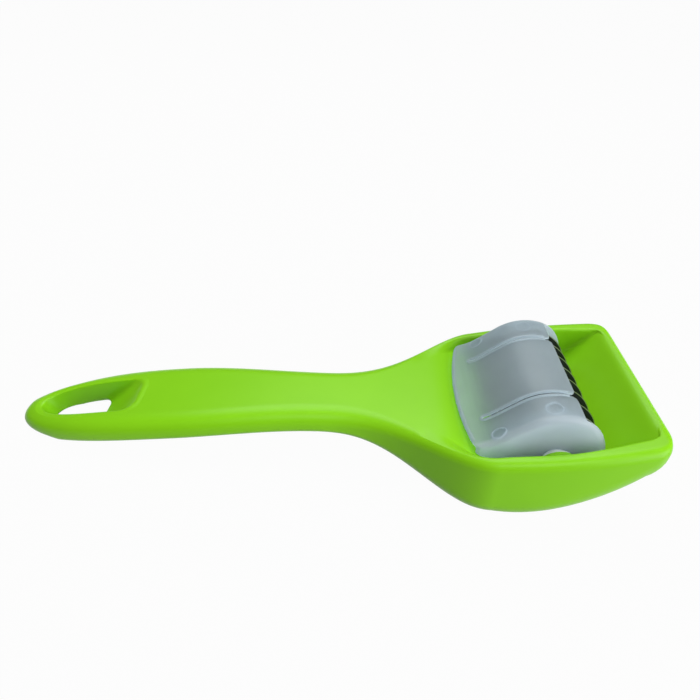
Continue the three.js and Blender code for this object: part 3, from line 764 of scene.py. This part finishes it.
def bushSection(side, radius, start, end):  # hub for the guard's cheek, flange, spigot in the wall
    outer = end if side > 0 else -start
    inner = start if side > 0 else -end
    flangeOut = outer - bush["spigotLong"]
    flangeIn = flangeOut - bush["flange"]
    r = bush["round"]
    eased = r * bush["hubEase"]
    hub, spigot, hollow = bush["hub"], bush["spigot"], axleRadius + bush["hollowRoom"]
    section = [(hollow, inner), (hub - r, inner), (hub - eased, inner + eased)]
    section += [(hub, inner + r), (hub, flangeIn)]
    for t in even(0, math.pi / 2, bush["roundSteps"]):
        section.append((radius - r + r * math.sin(t), flangeIn + r - r * math.cos(t)))
    section += [(radius, flangeOut), (spigot, flangeOut)]
    section += [(spigot, outer - r), (spigot - r, outer), (hollow, outer)]
    return [(across, side * along) for across, along in section], flangeOut


for node, side in (("bearing_bush_front", -1), ("bearing_bush_rear", 1)):
    radius, start, end = span(node)
    section, flangeOut = bushSection(side, radius, start, end)
    mesh = turnedMesh(node, section, roller["ringSegments"])
    piece = objectFrom(node + "_turned", mesh, "hood", "white_acetal", white, node)
    sharpen(piece, roller["ringCrease"])
    inner = bush["spigot"] + bush["seat"]
    lip = radius + bush["seat"] / 2
    wide = inner + bush["bossWall"]
    face = flangeOut + bush["seat"]
    mouth = flangeOut - bush["bossIn"]
    root = face + bush["bossDeep"]
    boss = [  # the green seat ring round the flange
        (inner, face), (lip, face), (lip, mouth), (wide - bush["bossEase"], mouth),
        (wide, mouth + bush["bossEase"]), (wide + bush["bossSpread"], root), (inner, root)]
    boss = [(across, side * along) for across, along in boss]
    mesh = turnedMesh(node + "_boss", boss, roller["ringSegments"])
    seat = objectFrom(node.replace("bearing_bush", "bush_boss"), mesh, "hood", "green_abs", green)
    sharpen(seat, roller["ringCrease"])
print("bushes drawn")


# blade guard: the moulded shell, with the raised lips of its slits, its thicker edges and its round marks
guard = dict(  # sizes in mm; a mark is its place along X, its place to either side and its radius
    voxel=0.28, smooth=6, smoothShare=0.5, castFrom=100,
    slitHalf=0.75, slitY=16.7, slitFrom=59.2, slitTo=86.4, slitSteps=40, turnSteps=10,
    lipOut=0.32, lipRadius=0.6, lipSink=0.22,
    edgeRadius=0.6, edgeIn=0.7, edgeSink=0.45, edgeHalf=26.5, edgeSteps=60, seekFrom=20, seekStep=0.1,
    marks=((79.9, 24.4, 2.7), (63.1, 26.4, 2.1)), markRadius=0.5, markSink=0.47, markSteps=48,
    beadSides=10)


def onGuard(tree, x, y):  # the point of the guard's outer face above a place in plan, if any
    hit = tree.ray_cast(Vector((x, y, guard["castFrom"])) * mm, Vector((0, 0, -1)))
    return hit[0] / mm if hit[0] else None


def beadInto(bm, path, radius):  # a round bead along a run of points, closed at both ends
    sides = guard["beadSides"]
    rings = []
    for i, p in enumerate(path):
        along = (path[min(i + 1, len(path) - 1)] - path[max(i - 1, 0)]).normalized()
        side = along.cross(Vector((0, 0, 1))).normalized()
        up = side.cross(along)
        rings.append([bm.verts.new((p + (side * math.cos(a) + up * math.sin(a)) * radius) * mm)
                      for a in (2 * math.pi * k / sides for k in range(sides))])
    for a, b in zip(rings, rings[1:]):
        for k in range(sides):
            n = (k + 1) % sides
            bm.faces.new((a[k], a[n], b[n], b[k]))
    bm.faces.new(list(reversed(rings[0])))
    bm.faces.new(rings[-1])


def slitPath(y):  # round the closed end of a slit, on both sides of it, in plan
    off = guard["slitHalf"] + guard["lipOut"]
    centre = guard["slitFrom"] + guard["slitHalf"]
    there = [Vector((x, y - off)) for x in even(guard["slitTo"], centre, guard["slitSteps"])]
    angles = even(0, math.pi, guard["turnSteps"])[1:-1]
    turn = [Vector((centre - off * math.sin(a), y - off * math.cos(a))) for a in angles]
    back = [Vector((x, y + off)) for x in even(centre, guard["slitTo"], guard["slitSteps"])]
    return there + turn + back


def tailPath(tree):  # along the tail's free edge: the first place in plan that is over the guard
    path = []
    for y in even(-guard["edgeHalf"], guard["edgeHalf"], guard["edgeSteps"]):
        x = shoulderX - guard["seekFrom"]
        while not onGuard(tree, x, y):
            x += guard["seekStep"]
        hit = onGuard(tree, x + guard["edgeIn"], y)
        path.append(hit - Vector((0, 0, guard["edgeSink"])))
    return path


def guardBeads(tree):
    bm = bmesh.new()
    for y in (-guard["slitY"], guard["slitY"]):
        hits = [onGuard(tree, p.x, p.y) for p in slitPath(y)]
        beadInto(bm, [hit - Vector((0, 0, guard["lipSink"])) for hit in hits if hit], guard["lipRadius"])
    beadInto(bm, tailPath(tree), guard["edgeRadius"])
    for x, y, radius in guard["marks"]:
        for side in (-1, 1):
            turn = even(0, 2 * math.pi, guard["markSteps"])
            path = [onGuard(tree, x + radius * math.cos(a), side * y + radius * math.sin(a)) for a in turn]
            beadInto(bm, [hit - Vector((0, 0, guard["markSink"])) for hit in path], guard["markRadius"])
    bmesh.ops.recalc_face_normals(bm, faces=bm.faces[:])
    return meshFrom("blade_guard_beads", bm)


guardForm = bmesh.new()
guardForm.from_mesh(frame["nodes"]["blade_guard"].data)
bmesh.ops.remove_doubles(guardForm, verts=guardForm.verts[:], dist=weldGap)
guardTree = BVHTree.FromBMesh(guardForm)
objectFrom("blade_guard_beads", guardBeads(guardTree), "guard", "frosted_polypropylene", thickFrost)
mesh = meshFrom("blade_guard_shell", guardForm)
shell = objectFrom("blade_guard_shell", mesh, "guard", "frosted_polypropylene", frost, "blade_guard")
remesh = shell.modifiers.new("remesh", "REMESH")
remesh.mode = "VOXEL"
remesh.voxel_size = guard["voxel"] * mm
remesh.use_smooth_shade = True
soften = shell.modifiers.new("soften", "SMOOTH")
soften.factor = guard["smoothShare"]
soften.iterations = guard["smooth"]
print("guard drawn")


# stage: a white sweep and soft light; places and sizes in m, power in W
stage = dict(
    floorSize=24, floorGrey="#8a8a8a", floorRough=0.9, floorGloss=0.1,
    keep=0.97, world=0.07, aim=(0.02, 0, 0.02))  # keep: how white the floor is to the eye
lights = dict(
    topLight=dict(place=(0.0, 0.42, 0.95), size=0.9, power=8.9),
    fillLight=dict(place=(0.74, -0.62, 0.34), size=0.8, power=8.8),
    frontLight=dict(place=(0.12, -0.6, 0.8), size=0.5, power=2.6))


def makeFloor():
    bm = bmesh.new()
    bmesh.ops.create_grid(bm, x_segments=1, y_segments=1, size=stage["floorSize"] / 2)
    floor = bpy.data.objects.new("floor", meshFrom("floor", bm))
    bpy.context.scene.collection.objects.link(floor)
    floor.location.z = cadLow.z
    material = bpy.data.materials.new("whiteSweep")
    material.use_nodes = True
    tree = material.node_tree
    shader = tree.nodes["Principled BSDF"]
    shader.inputs["Base Color"].default_value = linear(stage["floorGrey"])
    shader.inputs["Roughness"].default_value = stage["floorRough"]
    shader.inputs["Specular IOR Level"].default_value = stage["floorGloss"]
    rays = addNode(tree, "ShaderNodeLightPath")
    seen = addNode(tree, "ShaderNodeMath", {
        0: rays.outputs["Is Camera Ray"], 1: rays.outputs["Is Glossy Ray"]}, operation="MAXIMUM")
    seen = addNode(tree, "ShaderNodeMath", {
        0: seen.outputs["Value"], 1: rays.outputs["Is Transmission Ray"]}, operation="MAXIMUM")
    share = addNode(tree, "ShaderNodeMath", {
        0: seen.outputs["Value"], 1: stage["keep"]}, operation="MULTIPLY")
    glow = addNode(tree, "ShaderNodeEmission", {"Color": (1, 1, 1, 1), "Strength": 1.0})
    mixed = addNode(tree, "ShaderNodeMixShader", {
        "Fac": share.outputs["Value"], 1: shader.outputs["BSDF"], 2: glow.outputs["Emission"]})
    tree.links.new(mixed.outputs["Shader"], tree.nodes["Material Output"].inputs["Surface"])
    floor.data.materials.append(material)


def makeWorld():
    world = bpy.data.worlds.new("studio")
    bpy.context.scene.world = world
    world.use_nodes = True
    tree = world.node_tree
    rays = addNode(tree, "ShaderNodeLightPath")
    seen = addNode(tree, "ShaderNodeMath", {
        0: rays.outputs["Is Camera Ray"], 1: rays.outputs["Is Transmission Ray"]}, operation="MAXIMUM")
    strength = addNode(tree, "ShaderNodeMapRange", {
        "Value": seen.outputs["Value"], "To Min": stage["world"], "To Max": 1.0})
    tree.links.new(strength.outputs["Result"], tree.nodes["Background"].inputs["Strength"])
    tree.nodes["Background"].inputs["Color"].default_value = (1, 1, 1, 1)


def softLight(name, place, size, power):
    data = bpy.data.lights.new(name, "AREA")
    data.shape = "DISK"
    data.size = size
    data.energy = power
    light = bpy.data.objects.new(name, data)
    light.location = place
    light.rotation_mode = "QUATERNION"
    light.rotation_quaternion = (Vector(stage["aim"]) - Vector(place)).to_track_quat("-Z", "Y")
    bpy.context.scene.collection.objects.link(light)


makeFloor()
makeWorld()
for name, light in lights.items():
    softLight(name, **light)
bpy.context.scene.view_settings.view_transform = "Standard"
print("stage lit")
